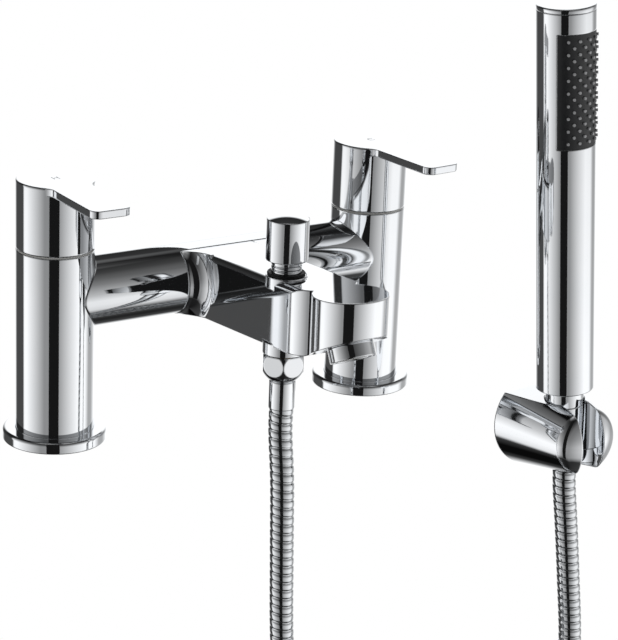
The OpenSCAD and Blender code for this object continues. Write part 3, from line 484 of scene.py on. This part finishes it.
def ray_along(direction):
    return vector_math(sky, "DOT_PRODUCT", ray, direction)["Value"]


to_camera = -Vector((math.sin(YAW), math.cos(YAW), 0))
azimuth = math_node(sky, "ARCTAN2", ray_along(level), ray_along(to_camera))
turned = math_node(sky, "ADD", math_node(sky, "DIVIDE", azimuth, math.tau), 0.5)
height = math_node(sky, "ARCSINE", ray_along((0, 0, 1)))
raised = math_node(sky, "ADD", math_node(sky, "DIVIDE", height, math.pi), 0.5)

cloth = ramp(turned, [(angle / 360 + 0.5, grey_light(tone)) for angle, tone in ROUND])
from_camera = math_node(sky, "ABSOLUTE", math_node(sky, "SUBTRACT", turned, 0.5))
behind = add(sky, "ShaderNodeMapRange", {"Value": from_camera, "From Min": BACK_FROM / 360,
                                         "From Max": BACK_FULL / 360}).outputs["Result"]
wall = mixed(sky, behind, wall_ramp(SIDE_WALL), wall_ramp(BACK_WALL))
tent = mixed(sky, 1.0, cloth, wall, "MULTIPLY")
print("sky nodes:", len(sky.nodes))

# %% White behind the mixer
# The chrome mirrors the tent, and the camera itself sees plain white paper.
lit = add(sky, "ShaderNodeBackground", {"Color": tent, "Strength": GLOW})
plain = add(sky, "ShaderNodeBackground", {"Color": linear("#ffffff"), "Strength": 1.0})
seen = add(sky, "ShaderNodeLightPath").outputs["Is Camera Ray"]
shown = add(sky, "ShaderNodeMixShader", {"Fac": seen, 1: lit.outputs["Background"],
                                         2: plain.outputs["Background"]})
add(sky, "ShaderNodeOutputWorld", {"Surface": shown.outputs["Shader"]})

scene.view_settings.view_transform = "Standard"
scene.view_settings.look = "None"
print("view:", scene.view_settings.view_transform)

# %% [markdown]
# ## Floor, bath and cards
#
# The mixer stands on the rim of a bath, and the photograph cuts the bath out to white. A pale
# floor, a long bare rim with its front panel, and the tile behind the bracket stand for the
# room. They are sheets of paper that glow evenly and show on one side only. From behind, the
# panel and the tile are clear, but the rim's top, seen from above, still covers a part of the
# inlet tails and the hose. The chrome doesn't mirror them, because the sky already holds what
# it should mirror. Two more sheets are the other way round: only the chrome sees them.


# %% Sheets of paper
def stage_sheet(name, quads, strength, for_chrome=False):
    """Sheets of glowing paper, clear from behind, whose corners run anticlockwise in front.
    Either the camera sees them or, as cards for_chrome, the chrome does."""
    paper = bpy.data.materials.new(name + "_paper")
    paper.use_nodes = True
    tree = paper.node_tree
    tree.nodes.clear()
    glow = add(tree, "ShaderNodeEmission", {"Color": linear("#ffffff"), "Strength": strength})
    clear = add(tree, "ShaderNodeBsdfTransparent")
    back = add(tree, "ShaderNodeNewGeometry").outputs["Backfacing"]
    one_side = add(tree, "ShaderNodeMixShader", {"Fac": back, 1: glow.outputs["Emission"],
                                                 2: clear.outputs["BSDF"]})
    add(tree, "ShaderNodeOutputMaterial", {"Surface": one_side.outputs["Shader"]})
    mesh = bpy.data.meshes.new(name)
    mesh.from_pydata([corner for quad in quads for corner in quad], [],
                     [tuple(range(4 * k, 4 * k + 4)) for k in range(len(quads))])
    mesh.materials.append(paper)
    sheet = placed(name, mesh)
    sheet.visible_diffuse = sheet.visible_shadow = False
    sheet.visible_camera, sheet.visible_glossy = not for_chrome, for_chrome


def lying(x0, x1, y0, y1, z):
    return [(x0, y0, z), (x1, y0, z), (x1, y1, z), (x0, y1, z)]


def upright(x0, x1, y, z0, z1):
    return [(x0, y, z0), (x1, y, z0), (x1, y, z1), (x0, y, z1)]


# %% Room
RIM_FRONT, RIM_BACK, FLOOR_Z, ROOM = -0.042, 0.060, -0.285, 1.5
WALL_Y, TILE_X, TILE_Z = -0.0949, (0.106, 0.162), (-0.022, 0.034)
PAPER = 1.0  # just white

rim_top = lying(-ROOM, ROOM, RIM_FRONT, RIM_BACK, 0)
bath_panel = upright(-ROOM, ROOM, RIM_FRONT, FLOOR_Z, 0)
stage_sheet("bath_rim", [rim_top, bath_panel], PAPER)
stage_sheet("studio_floor", [lying(-ROOM, ROOM, -ROOM, ROOM, FLOOR_Z)], PAPER)
stage_sheet("wall_tile", [upright(*TILE_X, WALL_Y, *TILE_Z)], PAPER)
print("floor", -FLOOR_Z, "m below the rim")

# %% Camera slot
# The dark gap in the cloth is where the camera stands, at the camera's own distance. So every
# upright cylinder mirrors it near its middle, wherever the cylinder stands.
SLOT_TONE, SLOT_SHIFT, SLOT_HALF, SLOT_LOW, SLOT_HIGH = 24, -0.06, 0.288, -1.3, 1.9

slot_left, slot_right = (CAMERA_AT.xy.to_3d() + level * (SLOT_SHIFT + side * SLOT_HALF)
                         for side in (-1, 1))
slot = [(*slot_right.xy, SLOT_LOW), (*slot_left.xy, SLOT_LOW),
        (*slot_left.xy, SLOT_HIGH), (*slot_right.xy, SLOT_HIGH)]
stage_sheet("camera_slot", [slot], grey_light(SLOT_TONE), for_chrome=True)
print("slot is", 2 * SLOT_HALF, "m wide")

# %% Bounce card
# A small white card above the spout's root, facing down, keeps the top of the bridge white.
CARD_Z = 0.115
CARD = [(-0.019, 0.036), (0.059, 0.036), (0.049, 0.001), (-0.006, 0.001)]
stage_sheet("bounce_card", [[(x, y, CARD_Z) for x, y in CARD]], GLOW, for_chrome=True)
print("card", CARD_Z, "m above the rim")
